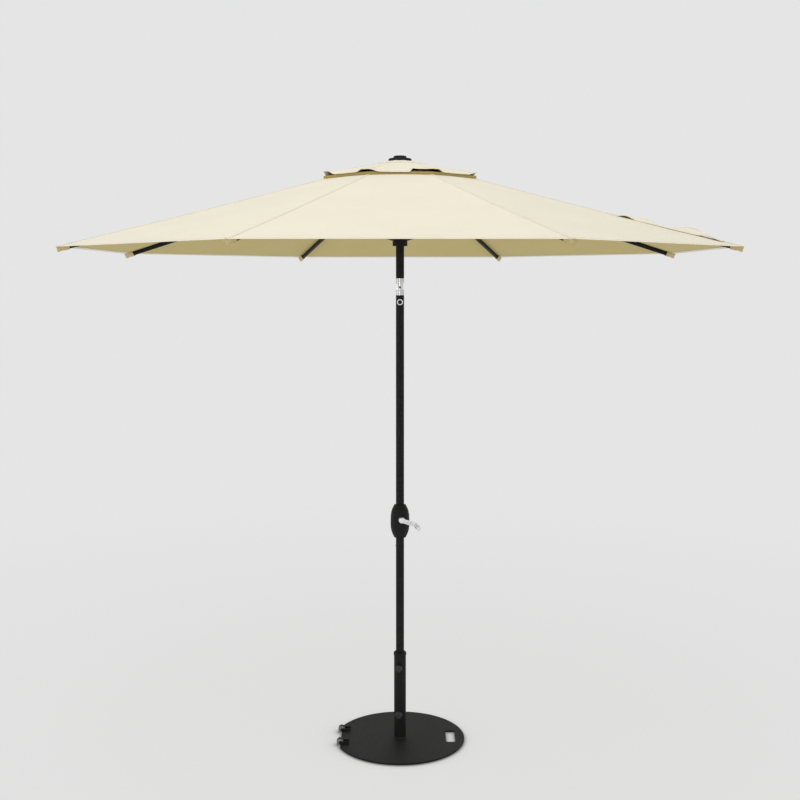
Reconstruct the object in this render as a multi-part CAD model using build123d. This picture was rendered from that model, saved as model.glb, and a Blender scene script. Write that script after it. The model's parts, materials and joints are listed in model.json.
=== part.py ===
"""Market umbrella with a crank lift, a push-button tilt and a round steel stand.

Millimetres, +Z up. The origin is on the floor, on the pole's axis. +X points to the side that
the stand's hand slot is on, -Y to the side that the crank and the knobs face.
Each function builds one piece or one group of like pieces, and save() writes it as a node.
"""
from build123d import *
from math import cos, radians, sin, tan
import os

# ---- driving dimensions ----
RIBS = 8
CANOPY_RADIUS = 1365.0          # pole axis to the canopy's corner at a rib tip
HEM_HEIGHT = 2052.0             # height of those corners
SLOPE = 14.5                    # ribs below horizontal when the canopy is open, degrees
FABRIC = 1.2                    # cloth with its seams and hems
VENT_RADIUS = 333.0             # vent cap, axis to corner
VENT_TOP = 2419.5
VENT_EDGE = 2366.0
VENT_SKIRT = 28.0
VENT_CENTRE = 46.0              # flat middle of the vent cap, under the finial
OPENING_RADIUS = 235.0          # hole in the main canopy under the vent cap, axis to corner
FINIAL_RADIUS = 48.0
FINIAL_DOME = 27.0
FINIAL_TOP = 2439.5

POLE_RADIUS = 17.0
POLE_BORE = 15.4
POLE_FOOT = 12.5
POLE_SPLIT = 800.0              # the lower section ends here and plugs into the middle one
SPIGOT_TOP = 845.0
UPPER_POLE_TOP = 2398.0

PIVOT_RADIUS = 34.0             # rib and strut pivots, from the pole's axis
PIVOT_PIN = 2.0
PIVOT_SLOT = 6.6                # width of the slots that the ribs and struts hinge in
RUNNER_HEIGHT = 2100.0          # strut pivots on the runner when the canopy is open
RIB_WIDTH = 12.0
RIB_DEPTH = 18.0
RIB_WALL = 0.9
RIB_RISE = 6.5                  # underside of a rib above the line through its pivots
STRUT_WIDTH = 10.0
STRUT_DEPTH = 13.0
RUNNER_COLLAR = 30.5            # radius of the collar under the runner's flange
RUNNER_FLANGE = 45.5
RUNNER_DROP = 30.0              # the runner reaches this far under its pivots
RUNNER_RISE = 10.0
STRAP_START = 880.0             # along the rib, from its crown pivot
STRAP_END = 1330.0
STRAP_WIDTH = 44.0
STRAP_SPACE = 14.0              # height that the loose strap's waves take up

TILT_HEIGHT = 1900.0
TILT_PIN = 3.5
TILT_BORE = 11.0                # passage for the cord through the tilt joint
SOCKET_DROP = 32.0              # the bright sockets reach this far under and over the pin
SOCKET_RISE = 37.0
EAR_INNER = 8.0                 # the lower socket's ears, from y = 0
EAR_OUTER = 11.0
EAR_REACH = 10.0                # radius of an ear round the pin
TILT_BUTTON_HEIGHT = 1839.0
BUTTON_RADIUS = 8.0
BEZEL_RADIUS = 12.5
SNAP_HEIGHT = 821.0
SNAP_RADIUS = 4.0

CRANK_HEIGHT = 940.0
CRANK_TURN = 7.5                # the crank faces this far to the +X side of -Y, degrees
HOUSING_BOTTOM = 858.0
HOUSING_TOP = 994.0
HOUSING_RADIUS = 39.5
HOUSING_NECK = 24.5             # radius at both ends
HOUSING_SHOULDER = 35.5         # radius where the steep ends meet the belly
HOUSING_WALL = 3.0
SCREW_X = 28.0                  # housing screws, from the pole's axis
SCREW_RISE = 34.0               # and above and below the housing's middle
SHAFT_RADIUS = 4.0
SHAFT_BACK = 31.0               # the shaft reaches this far behind the pole's axis
SHAFT_FRONT = HOUSING_RADIUS + 22
SPOOL_RADIUS = 6.0
SPOOL_FLANGE = 12.0
SPOOL_HALF = 8.0
HUB_START = HOUSING_RADIUS + 5  # crank arm, distances out from the pole's axis
ARM_BACK = HUB_START + 11
ARM_FRONT = ARM_BACK + 9
ARM_LENGTH = 64.0               # shaft axis to grip axis
ARM_WIDTH = 17.0
ARM_DROOP = -20.0               # the arm points to +X and this far down at rest, degrees
SPINDLE_RADIUS = 3.5
GRIP_LENGTH = 56.0

CORD_RADIUS = 1.5
CORD_OFFSET = 7.5               # the lift cord runs up inside the pole this far to +X
PULLEY_X = 14.0
PULLEY_HEIGHT = 2340.0
PULLEY_AXLE = 2.0

PLATE_RADIUS = 270.0
PLATE_BOTTOM = 2.0
PLATE_TOP = 10.0
PLATE_CHORD = 247.0             # straight cut on the wheels' side
SLOT_X = 212.0
SLOT_WIDTH = 39.0
SLOT_LENGTH = 119.0
STAND_TUBE_RADIUS = 25.0
STAND_TUBE_BORE = 23.0
STAND_TUBE_TOP = 358.0
COLLAR_TOP = 372.0
KNOB_HEIGHTS = {"upper": 312.0, "lower": 115.0}
KNOB_TURN = 7.0                 # the knobs face this far to the -X side of -Y, degrees
KNOB_RADIUS = 13.5
KNOB_BACK = 35.0                # distances out from the pole's axis
KNOB_FRONT = 50.0
KNOB_FLUTES = 12
STUD_RADIUS = 4.0
PAD_RADIUS = 14.0               # rubber feet
PAD_ANGLES = (20, 90, 160, 200, 270, 340)
WHEEL_RADIUS = 14.0
WHEEL_WIDTH = 22.0
WHEEL_X = -249.0
WHEEL_Z = 15.0
WHEEL_Y = 67.0
AXLE_RADIUS = 3.0
FORK_STEEL = 2.5                # thickness of the fork's ears
FORK_LENGTH = 18.0              # of its foot on the plate

# ---- values worked out from them ----
CLEAR = 0.3                     # gap between pieces that move past each other
FIT = 0.05                      # gap between pieces that are fixed in each other
HALF_GORE = 180.0 / RIBS
RISE = tan(radians(SLOPE))
RIB_TOP = RIB_RISE + RIB_DEPTH
PIVOT_DROP = (RIB_TOP + FABRIC + CLEAR) / cos(radians(SLOPE))
CROWN_HEIGHT = HEM_HEIGHT + (CANOPY_RADIUS - PIVOT_RADIUS) * RISE - PIVOT_DROP
STRUT_LENGTH = (CROWN_HEIGHT - RUNNER_HEIGHT) / (2 * sin(radians(SLOPE)))
RIB_END = (CANOPY_RADIUS - PIVOT_RADIUS) / cos(radians(SLOPE)) - 16.0
HOUSING_MIDDLE = (HOUSING_BOTTOM + HOUSING_TOP) / 2
SOCKET_BOTTOM = TILT_HEIGHT - SOCKET_DROP
SOCKET_TOP = TILT_HEIGHT + SOCKET_RISE
PULLEY_CORD_RADIUS = PULLEY_X - CORD_OFFSET
FACING_BUTTON = -90.0
FACING_CRANK = -90.0 + CRANK_TURN
FACING_KNOBS = -90.0 - KNOB_TURN
BASE = (Align.CENTER, Align.CENTER, Align.MIN)
THROUGH = 80.0                  # longer than any wall that a hole has to pass


# ---- helpers ----
def rod(radius, bottom, top):
    """An upright round bar on the pole's axis."""
    return Pos(0, 0, bottom) * Cylinder(radius, top - bottom, align=BASE)


def ring(outer, inner, bottom, top):
    """An upright tube on the pole's axis."""
    return rod(outer, bottom, top) - rod(inner, bottom - 1, top + 1)


def facing(azimuth, height):
    """A place on the pole's axis whose own Z looks out along the azimuth, and its Y up."""
    out = (cos(radians(azimuth)), sin(radians(azimuth)), 0)
    side = (-sin(radians(azimuth)), cos(radians(azimuth)), 0)
    return Plane(origin=(0, 0, height), x_dir=side, z_dir=out).location


def side_rod(azimuth, height, radius, start, end):
    """A round bar across the pole, from start to end along the azimuth."""
    return facing(azimuth, height) * Pos(0, 0, start) * Cylinder(radius, end - start, align=BASE)


def cross_rod(radius, x, y, z, length):
    """A round bar along Y, centred on a point."""
    return Pos(x, y, z) * Rot(90, 0, 0) * Cylinder(radius, length)


def upright_plate(points, thickness):
    """A plate in the XZ plane, as thick as given, half on each side of y = 0."""
    outline = Plane.XZ * make_face(Polyline(*points, close=True))
    return extrude(outline, amount=thickness / 2, both=True)


def bar(width, depth, corner, start, end, rise):
    """A bar along X with rounded edges, its underside at rise."""
    section = RectangleRounded(width, depth, corner)
    outline = Plane.YZ.offset(start) * Pos(0, rise + depth / 2) * section
    return extrude(outline, amount=end - start)


def box_between(low, high):
    """A block from its lowest corner to its highest."""
    size = [b - a for a, b in zip(low, high)]
    return Pos(*low) * Box(*size, align=(Align.MIN, Align.MIN, Align.MIN))


def save(name, *solids):
    """Write one node as a STEP file."""
    shape = solids[0] if len(solids) == 1 else Compound(list(solids))
    export_step(shape, f"parts/{name}.step")


# ---- the stand ----
def base_plate():
    """Steel disc with a hand slot, a straight side and a notch for each wheel."""
    plate = rod(PLATE_RADIUS, PLATE_BOTTOM, PLATE_TOP)
    edges = plate.edges().filter_by(GeomType.CIRCLE)
    plate = chamfer(edges, 1.0)
    plate -= box_between((-PLATE_RADIUS - 1, -PLATE_RADIUS, 0), (-PLATE_CHORD, PLATE_RADIUS, 20))
    notch_inside = WHEEL_X + WHEEL_RADIUS + 3
    for y in (-WHEEL_Y, WHEEL_Y):
        half = WHEEL_WIDTH / 2 + 1.5
        plate -= box_between((-PLATE_RADIUS, y - half, 0), (notch_inside, y + half, 20))
    slot = extrude(RectangleRounded(SLOT_WIDTH, SLOT_LENGTH, 9), amount=20)
    return plate - Pos(SLOT_X, 0, 0) * slot


def rubber_feet():
    """Round pads pressed on the underside of the plate."""
    spread = PLATE_RADIUS - 40
    pads = []
    for angle in PAD_ANGLES:
        pad = Cylinder(PAD_RADIUS, PLATE_BOTTOM, align=BASE)
        pads.append(Rot(0, 0, angle) * Pos(spread, 0, 0) * pad)
    return pads


def stand_tube():
    """Welded upright with a fillet bead at its foot and a threaded boss for each knob."""
    tube = rod(STAND_TUBE_RADIUS, PLATE_TOP, STAND_TUBE_TOP)
    bead = Cone(STAND_TUBE_RADIUS + 4, STAND_TUBE_RADIUS, 4, align=BASE)
    tube += Pos(0, 0, PLATE_TOP) * bead
    for height in KNOB_HEIGHTS.values():
        tube += side_rod(FACING_KNOBS, height, 9.5, 0, 33)
    tube -= rod(STAND_TUBE_BORE, PLATE_TOP - 1, STAND_TUBE_TOP + 1)
    for height in KNOB_HEIGHTS.values():
        tube -= side_rod(FACING_KNOBS, height, STUD_RADIUS + CLEAR, 0, THROUGH)
    return tube


def tube_collar():
    """Moulded guide that caps the stand tube and centres the pole."""
    top = rod(STAND_TUBE_RADIUS + 1.5, STAND_TUBE_TOP, COLLAR_TOP)
    top = chamfer(top.edges().group_by(Axis.Z)[-1], 3.0)
    sleeve = rod(STAND_TUBE_BORE - FIT, STAND_TUBE_TOP - 32, STAND_TUBE_TOP)
    return top + sleeve - rod(POLE_RADIUS + CLEAR, STAND_TUBE_TOP - 40, COLLAR_TOP + 1)


def knob_stud(height):
    """Threaded stud that clamps the pole."""
    stud = side_rod(FACING_KNOBS, height, STUD_RADIUS, POLE_RADIUS + CLEAR, KNOB_FRONT - 4)
    return chamfer(stud.edges().filter_by(GeomType.CIRCLE), 0.6)


def knob_grip(height):
    """Round grip with shallow flutes and a dished face, moulded on the stud."""
    length = KNOB_FRONT - KNOB_BACK
    grip = Cylinder(KNOB_RADIUS, length, align=BASE)
    grip = fillet(grip.edges().group_by(Axis.Z)[-1], 2.5)
    for step in range(KNOB_FLUTES):
        turn = Rot(0, 0, step * 360 / KNOB_FLUTES)
        grip -= turn * Pos(KNOB_RADIUS + 2.3, 0, 0) * Cylinder(3, 2 * length)
    grip -= Pos(0, 0, length - 0.8) * Cylinder(KNOB_RADIUS - 5.5, 2, align=BASE)
    grip -= Pos(0, 0, -1) * Cylinder(STUD_RADIUS + FIT, length - 3 + FIT, align=BASE)
    return facing(FACING_KNOBS, height) * Pos(0, 0, KNOB_BACK) * grip


def wheel_bracket(y):
    """Steel fork on the plate's edge: two ears on one foot."""
    inside = WHEEL_X + WHEEL_RADIUS + 5
    outside = inside + FORK_LENGTH
    height = WHEEL_Z - PLATE_TOP
    half = WHEEL_WIDTH / 2 + 0.6 + FORK_STEEL
    bracket = box_between((inside, y - half, PLATE_TOP), (outside, y + half, PLATE_TOP + 3))
    for side in (-1, 1):
        middle = y + side * (half - FORK_STEEL / 2)
        low = (WHEEL_X, middle - FORK_STEEL / 2, PLATE_TOP)
        high = (outside, middle + FORK_STEEL / 2, WHEEL_Z + height)
        bracket += box_between(low, high)
        bracket += cross_rod(height, WHEEL_X, middle, WHEEL_Z, FORK_STEEL)
    return bracket - cross_rod(AXLE_RADIUS, WHEEL_X, y, WHEEL_Z, THROUGH)


def wheel_axle(y):
    """Headed pin through both ears."""
    reach = WHEEL_WIDTH / 2 + 0.6 + FORK_STEEL
    head = 2.5
    axle = cross_rod(AXLE_RADIUS - FIT, WHEEL_X, y, WHEEL_Z, 2 * reach)
    for side in (-1, 1):
        axle += cross_rod(AXLE_RADIUS + 1.5, WHEEL_X, y + side * (reach + head / 2), WHEEL_Z, head)
    return axle


def wheel(y):
    """Moulded roller with a rounded tread and recessed faces."""
    body = cross_rod(WHEEL_RADIUS, WHEEL_X, y, WHEEL_Z, WHEEL_WIDTH)
    body = fillet(body.edges().filter_by(GeomType.CIRCLE), 2)
    for side in (-1, 1):
        face = y + side * WHEEL_WIDTH / 2
        recess = cross_rod(WHEEL_RADIUS - 4, WHEEL_X, face, WHEEL_Z, 3)
        body -= recess - cross_rod(AXLE_RADIUS + 2.5, WHEEL_X, face, WHEEL_Z, 3)
    return body - cross_rod(AXLE_RADIUS + 0.1, WHEEL_X, y, WHEEL_Z, THROUGH)


# ---- the pole up to the tilt joint ----
def lower_pole():
    """Lower section, swaged at its top to plug into the middle section."""
    wall = POLE_RADIUS - POLE_BORE
    pole = rod(POLE_RADIUS, POLE_FOOT, POLE_SPLIT) + rod(POLE_BORE - FIT, POLE_SPLIT, SPIGOT_TOP)
    pole -= rod(POLE_BORE, POLE_FOOT - 1, POLE_SPLIT - 4)
    pole -= rod(POLE_BORE - wall, POLE_FOOT, SPIGOT_TOP + 1)
    return pole - side_rod(180, SNAP_HEIGHT, SNAP_RADIUS + CLEAR, 0, THROUGH)


def pole_foot_cap():
    """Plastic plug that closes the pole's lower end and stands on the plate."""
    head = rod(POLE_RADIUS, PLATE_TOP + 0.2, POLE_FOOT)
    return head + rod(POLE_BORE - FIT, POLE_FOOT, POLE_FOOT + 20)


def mid_pole():
    """Middle section: carries the crank housing and ends under the tilt joint."""
    pole = ring(POLE_RADIUS, POLE_BORE, POLE_SPLIT + 0.5, SOCKET_BOTTOM - 0.5)
    pole -= side_rod(180, SNAP_HEIGHT, SNAP_RADIUS + CLEAR, 0, THROUGH)
    pole -= side_rod(FACING_CRANK, CRANK_HEIGHT, SHAFT_RADIUS + 1, -THROUGH, THROUGH)
    return pole - side_rod(FACING_BUTTON, TILT_BUTTON_HEIGHT, BUTTON_RADIUS + CLEAR, 0, THROUGH)


def snap_button():
    """Round-nosed button on a leaf spring, which locks the two sections together."""
    root = 11.0
    nose = side_rod(180, SNAP_HEIGHT, SNAP_RADIUS, root, POLE_RADIUS + 3.5)
    nose = fillet(nose.edges().group_by(Axis.X)[0], 2.5)
    low = (-root - 0.5, -SNAP_RADIUS, SNAP_HEIGHT - 22)
    high = (-root + 0.3, SNAP_RADIUS, SNAP_HEIGHT + 6)
    return nose + box_between(low, high)


def screw_places():
    """X and Z of the four housing screws."""
    heights = (HOUSING_MIDDLE - SCREW_RISE, HOUSING_MIDDLE + SCREW_RISE)
    return [(x, z) for x in (-SCREW_X, SCREW_X) for z in heights]


def barrel(inset):
    """The housing's outside shape, taken in by the inset."""
    low, high = HOUSING_BOTTOM + inset, HOUSING_TOP - inset
    neck, shoulder = HOUSING_NECK - inset, HOUSING_SHOULDER - inset
    side = Spline((neck, low), (shoulder, low + 26), (HOUSING_RADIUS - inset, HOUSING_MIDDLE),
                  (shoulder, high - 26), (neck, high), tangents=[(0.5, 1), (-0.5, 1)])
    outline = side + Polyline((neck, high), (0, high), (0, low), (neck, low))
    return revolve(Plane.XZ * make_face(outline), axis=Axis.Z)


def housing():
    """Barrel-shaped crank housing in two shells, split at y = 0, with bosses for the shaft."""
    front_boss = side_rod(FACING_CRANK, CRANK_HEIGHT, 13, 30, HOUSING_RADIUS + 4)
    shell = barrel(0) + front_boss - barrel(HOUSING_WALL)
    # a socket inside each shell carries the shaft
    socket = 2 * SHAFT_RADIUS
    shell += side_rod(FACING_CRANK, CRANK_HEIGHT, socket, POLE_RADIUS + 1, HOUSING_RADIUS)
    shell += side_rod(FACING_CRANK, CRANK_HEIGHT, socket, -SHAFT_BACK - 5, -POLE_RADIUS - 1)
    for x, z in screw_places():
        shell += cross_rod(4.5, x, 0, z, 34) & barrel(1)
    shell -= side_rod(FACING_CRANK, CRANK_HEIGHT, SHAFT_RADIUS + 0.1, -SHAFT_BACK - 1, THROUGH)
    shell -= rod(POLE_RADIUS + FIT, HOUSING_BOTTOM - 1, HOUSING_TOP + 1)
    for x, z in screw_places():
        shell -= cross_rod(1.8, x, 10, z, 44)
        shell -= cross_rod(3.4, x, 31 - FIT, z, 40)
    half_space = box_between((-60, -70, HOUSING_BOTTOM - 5), (60, -FIT, HOUSING_TOP + 5))
    front = shell & half_space
    rear = shell & (Rot(0, 0, 180) * half_space)
    return front, rear


def housing_screws():
    """Screws that go in from the back of the rear shell."""
    return [cross_rod(1.7, x, 0, z, 22) + cross_rod(3.1, x, 12.1, z, 2.2) for x, z in screw_places()]


# ---- the crank ----
def reel_shaft():
    """Shaft with the spool that winds the lift cord inside the pole."""
    shaft = side_rod(FACING_CRANK, CRANK_HEIGHT, SHAFT_RADIUS, -SHAFT_BACK, SHAFT_FRONT)
    shaft += side_rod(FACING_CRANK, CRANK_HEIGHT, SPOOL_RADIUS, -SPOOL_HALF, SPOOL_HALF)
    for start in (-SPOOL_HALF, SPOOL_HALF - 2):
        shaft += side_rod(FACING_CRANK, CRANK_HEIGHT, SPOOL_FLANGE, start, start + 2)
    return shaft


def reel_cord():
    """The wound part of the lift cord."""
    half = SPOOL_HALF - 2.1
    cord = side_rod(FACING_CRANK, CRANK_HEIGHT, SPOOL_RADIUS + 2 * CORD_RADIUS, -half, half)
    return cord - side_rod(FACING_CRANK, CRANK_HEIGHT, SPOOL_RADIUS + FIT, -SPOOL_HALF, SPOOL_HALF)


def crank_frame():
    """Own X along the arm, own Z out along the shaft."""
    return facing(FACING_CRANK, CRANK_HEIGHT) * Rot(0, 0, ARM_DROOP)


def crank_arm():
    """Hub, flat arm with a groove along it, and the spindle that the grip turns on."""
    thick = ARM_FRONT - ARM_BACK
    arm = Pos(0, 0, HUB_START) * Cylinder(12.5, ARM_FRONT - HUB_START + 3, align=BASE)
    arm = fillet(arm.edges().group_by(Axis.Z)[-1], 5)
    flat = Pos(ARM_LENGTH / 2, 0, ARM_BACK) * Box(ARM_LENGTH, ARM_WIDTH, thick, align=BASE)
    flat += Pos(ARM_LENGTH, 0, ARM_BACK) * Cylinder(ARM_WIDTH / 2, thick, align=BASE)
    groove = Box(ARM_LENGTH - 22, 7, 5, align=BASE)
    flat -= Pos(ARM_LENGTH / 2 + 5, 0, ARM_FRONT - 2.5) * groove
    arm += flat
    arm += Pos(ARM_LENGTH, 0, ARM_FRONT) * Cylinder(SPINDLE_RADIUS, GRIP_LENGTH + 6, align=BASE)
    arm -= Cylinder(SHAFT_RADIUS + FIT, SHAFT_FRONT + FIT, align=BASE)
    return crank_frame() * arm


def crank_grip():
    """Waisted grip that turns freely on the spindle."""
    back, belly, front = 7.5, 9.5, 8.5
    side = Spline((back, 0), (belly, GRIP_LENGTH * 0.55), (front, GRIP_LENGTH))
    outline = side + Polyline((front, GRIP_LENGTH), (0, GRIP_LENGTH), (0, 0), (back, 0))
    grip = revolve(Plane.XZ * make_face(outline), axis=Axis.Z)
    grip -= Pos(0, 0, -1) * Cylinder(SPINDLE_RADIUS + 0.1, GRIP_LENGTH + 2, align=BASE)
    return crank_frame() * Pos(ARM_LENGTH, 0, ARM_FRONT + CLEAR) * grip


def grip_end_cap():
    """Cap that keeps the grip on its spindle."""
    length = 7.0
    cap = Cylinder(9, length, align=BASE)
    cap = fillet(cap.edges().group_by(Axis.Z)[-1], 3)
    cap -= Pos(0, 0, -1) * Cylinder(SPINDLE_RADIUS + 0.1, length, align=BASE)
    return crank_frame() * Pos(ARM_LENGTH, 0, ARM_FRONT + CLEAR + GRIP_LENGTH) * cap


# ---- the tilt joint ----
def tilt_socket_lower():
    """Fixed half: a sleeve with a round seat and two inner ears that carry the pin."""
    body = rod(POLE_RADIUS, SOCKET_BOTTOM, TILT_HEIGHT - EAR_REACH)
    body += rod(POLE_BORE - FIT, SOCKET_BOTTOM - 15, SOCKET_BOTTOM)
    body -= rod(TILT_BORE, SOCKET_BOTTOM - 20, TILT_HEIGHT)
    body -= cross_rod(POLE_RADIUS + 0.4, 0, 0, TILT_HEIGHT, THROUGH)
    middle, thick = (EAR_INNER + EAR_OUTER) / 2, EAR_OUTER - EAR_INNER
    for side in (-1, 1):
        low = (-EAR_REACH, side * middle - thick / 2, SOCKET_BOTTOM)
        high = (EAR_REACH, side * middle + thick / 2, TILT_HEIGHT)
        body += box_between(low, high)
        body += cross_rod(EAR_REACH, 0, side * middle, TILT_HEIGHT, thick)
    return body - cross_rod(TILT_PIN, 0, 0, TILT_HEIGHT, THROUGH)


def tilt_socket_upper():
    """Moving half: a sleeve whose outer cheeks turn on the pin."""
    bottom = TILT_HEIGHT - 30
    body = rod(POLE_RADIUS, TILT_HEIGHT, SOCKET_TOP)
    body += rod(POLE_BORE - FIT, SOCKET_TOP, SOCKET_TOP + 18)
    body += cross_rod(POLE_RADIUS, 0, 0, TILT_HEIGHT, THROUGH) & rod(POLE_RADIUS, bottom, TILT_HEIGHT)
    gap = EAR_OUTER + CLEAR
    body -= box_between((-30, -gap, bottom), (30, gap, TILT_HEIGHT + 15))
    body -= rod(TILT_BORE, TILT_HEIGHT, SOCKET_TOP + 20)
    return body - cross_rod(TILT_PIN + 0.1, 0, 0, TILT_HEIGHT, THROUGH)


def tilt_pin():
    """Riveted pin that the canopy tilts about."""
    pin = cross_rod(TILT_PIN - FIT, 0, 0, TILT_HEIGHT, 2 * POLE_RADIUS + 1)
    for side in (-1, 1):
        pin += cross_rod(TILT_PIN + 1, 0, side * (POLE_RADIUS + 0.7), TILT_HEIGHT, 1.2)
    return pin


def button_ring():
    """Bright bezel on the pole around the tilt button."""
    rim = side_rod(FACING_BUTTON, TILT_BUTTON_HEIGHT, BEZEL_RADIUS, 9, POLE_RADIUS + 2.8)
    rim -= side_rod(FACING_BUTTON, TILT_BUTTON_HEIGHT, BUTTON_RADIUS + CLEAR, 0, THROUGH)
    return rim - rod(POLE_RADIUS + FIT, TILT_BUTTON_HEIGHT - 20, TILT_BUTTON_HEIGHT + 20)


def tilt_button():
    """Button that releases the tilt joint."""
    back = 12.5
    face = side_rod(FACING_BUTTON, TILT_BUTTON_HEIGHT, BUTTON_RADIUS, back, POLE_RADIUS + 3.8)
    face = fillet(face.edges().group_by(Axis.Y)[0], 1.5)
    return face + side_rod(FACING_BUTTON, TILT_BUTTON_HEIGHT, 3.5, back - 5.5, back)


# ---- the upper pole and the crown ----
def upper_pole():
    """Top section, with a window for the pulley."""
    pole = ring(POLE_RADIUS, POLE_BORE, SOCKET_TOP, UPPER_POLE_TOP)
    window = box_between((0, -3.6, PULLEY_HEIGHT - 11), (THROUGH, 3.6, PULLEY_HEIGHT + 11))
    return pole - window - cross_rod(PULLEY_AXLE + FIT, PULLEY_X, 0, PULLEY_HEIGHT, THROUGH)


def pulley():
    """Small grooved wheel with its own axle, in a window of the pole."""
    groove = PULLEY_CORD_RADIUS - CORD_RADIUS - FIT
    wheel_body = cross_rod(groove, PULLEY_X, 0, PULLEY_HEIGHT, 6)
    for side in (-1, 1):
        wheel_body += cross_rod(groove + 3, PULLEY_X, side * 2.5, PULLEY_HEIGHT, 1)
    return wheel_body + cross_rod(PULLEY_AXLE, PULLEY_X, 0, PULLEY_HEIGHT, 19)


def crown_hub():
    """Notched hub that the ribs hinge in."""
    hub = rod(PIVOT_RADIUS + 8, CROWN_HEIGHT - 9, CROWN_HEIGHT + 9)
    hub = chamfer(hub.edges().filter_by(GeomType.CIRCLE), 1.5)
    hub += rod(PIVOT_RADIUS - 10, CROWN_HEIGHT + 9, UPPER_POLE_TOP)
    hub -= rod(POLE_RADIUS + FIT, CROWN_HEIGHT - 20, UPPER_POLE_TOP + 1)
    half = PIVOT_SLOT / 2
    slot = box_between((PIVOT_RADIUS - 7.5, -half, CROWN_HEIGHT - 15), (66, half, CROWN_HEIGHT + 15))
    slot += cross_rod(PIVOT_PIN + FIT, PIVOT_RADIUS, 0, CROWN_HEIGHT, 16.4)
    for index in range(RIBS):
        hub -= on_rib(slot, index)
    return hub


def finial():
    """Turned cap with a stem that holds the vent cap down on the pole."""
    seat = VENT_TOP + 0.5
    step = seat + 9
    cap = rod(FINIAL_RADIUS, seat, step)
    cap = fillet(cap.edges().group_by(Axis.Z)[-1], 6)
    dome = rod(FINIAL_DOME, step, FINIAL_TOP)
    dome = fillet(dome.edges().group_by(Axis.Z)[-1], 5)
    return cap + dome + rod(POLE_BORE - FIT, UPPER_POLE_TOP - 20, seat)


# ---- ribs, struts and runner ----
def rib_azimuth(index):
    return (index + 0.5) * 360 / RIBS


def on_rib(shape, index):
    """Turn a shape built in the XZ plane to where one rib lies."""
    return Rot(0, 0, rib_azimuth(index)) * shape


def along_rib(shape):
    """Own X from the crown pivot down the rib, own Z square to it."""
    down = radians(SLOPE)
    frame = Plane(origin=(PIVOT_RADIUS, 0, CROWN_HEIGHT), x_dir=(cos(down), 0, -sin(down)),
                  z_dir=(sin(down), 0, cos(down)))
    return frame.location * shape


def along_strut(shape):
    """Own X from the runner pivot up the strut to the rib, own Z square to it."""
    up = radians(SLOPE)
    frame = Plane(origin=(PIVOT_RADIUS, 0, RUNNER_HEIGHT), x_dir=(cos(up), 0, sin(up)),
                  z_dir=(-sin(up), 0, cos(up)))
    return frame.location * shape


def hollow_bar(width, depth, corner, start, end, rise):
    outer = bar(width, depth, corner, start, end, rise)
    inner_width, inner_depth = width - 2 * RIB_WALL, depth - 2 * RIB_WALL
    return outer - bar(inner_width, inner_depth, corner - RIB_WALL, start - 1, end + 1, rise + RIB_WALL)


def plug(width, depth, start, end, rise):
    """The end of a fitting that sits inside a hollow bar."""
    inset = RIB_WALL + FIT
    return bar(width - 2 * inset, depth - 2 * inset, 1.5, start, end, rise + inset)


def rib(index):
    """Tube, root end, tip plug, the two ears for the strut, and both hinge pins."""
    root_end, tip_length, ear_steel = 24.0, 5.0, 1.8
    tube = hollow_bar(RIB_WIDTH, RIB_DEPTH, 3, root_end, RIB_END, RIB_RISE)
    outline = [(0, -6.4), (root_end, RIB_RISE), (root_end, RIB_TOP), (16, RIB_TOP), (-5, 4)]
    root = upright_plate(outline, 6)
    root += cross_rod(6.4, 0, 0, 0, 6)
    root += plug(RIB_WIDTH, RIB_DEPTH, root_end, root_end + 20, RIB_RISE)
    root -= cross_rod(PIVOT_PIN + FIT, 0, 0, 0, 20)
    crown_pin = cross_rod(PIVOT_PIN, 0, 0, 0, 16)
    tip = bar(RIB_WIDTH, RIB_DEPTH, 3, RIB_END + FIT, RIB_END + tip_length, RIB_RISE)
    tip += plug(RIB_WIDTH, RIB_DEPTH, RIB_END - 20, RIB_END + 1, RIB_RISE)
    pieces = [tube, root, crown_pin, tip]
    for side in (-1, 1):
        middle = side * (RIB_WIDTH / 2 + FIT + ear_steel / 2)
        low = (STRUT_LENGTH - 6.5, middle - ear_steel / 2, 0)
        high = (STRUT_LENGTH + 6.5, middle + ear_steel / 2, RIB_RISE + 7.5)
        ear = box_between(low, high)
        ear += cross_rod(6.5, STRUT_LENGTH, middle, 0, ear_steel)
        ear -= cross_rod(PIVOT_PIN + FIT, STRUT_LENGTH, middle, 0, 10)
        pieces.append(ear)
    strut_pin = cross_rod(PIVOT_PIN, STRUT_LENGTH, 0, 0, 18)
    for side in (-1, 1):
        strut_pin += cross_rod(3.4, STRUT_LENGTH, side * 8.6, 0, 1.2)
    pieces.append(strut_pin)
    return [on_rib(along_rib(piece), index) for piece in pieces]


def strut(index):
    """Tube, the two end fittings, and the pin that hinges it to the runner."""
    rise = -STRUT_DEPTH / 2
    start, end = 17.0, STRUT_LENGTH - 13
    tube = hollow_bar(STRUT_WIDTH, STRUT_DEPTH, 2.5, start, end, rise)
    inner = bar(6, 12, 1, 0, start - FIT, -6) + cross_rod(6, 0, 0, 0, 6)
    inner += plug(STRUT_WIDTH, STRUT_DEPTH, start - 1, start + 19, rise)
    inner -= cross_rod(PIVOT_PIN - FIT, 0, 0, 0, 20)
    runner_pin = cross_rod(PIVOT_PIN - 0.1, 0, 0, 0, 14)
    outer = bar(11, 11.6, 1, end + FIT, STRUT_LENGTH, -5.8)
    outer += cross_rod(5.8, STRUT_LENGTH, 0, 0, 11)
    outer += plug(STRUT_WIDTH, STRUT_DEPTH, end - 19, end + 1, rise)
    outer -= cross_rod(PIVOT_PIN + 0.1, STRUT_LENGTH, 0, 0, 30)
    return [on_rib(along_strut(piece), index) for piece in (tube, inner, outer, runner_pin)]


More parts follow.
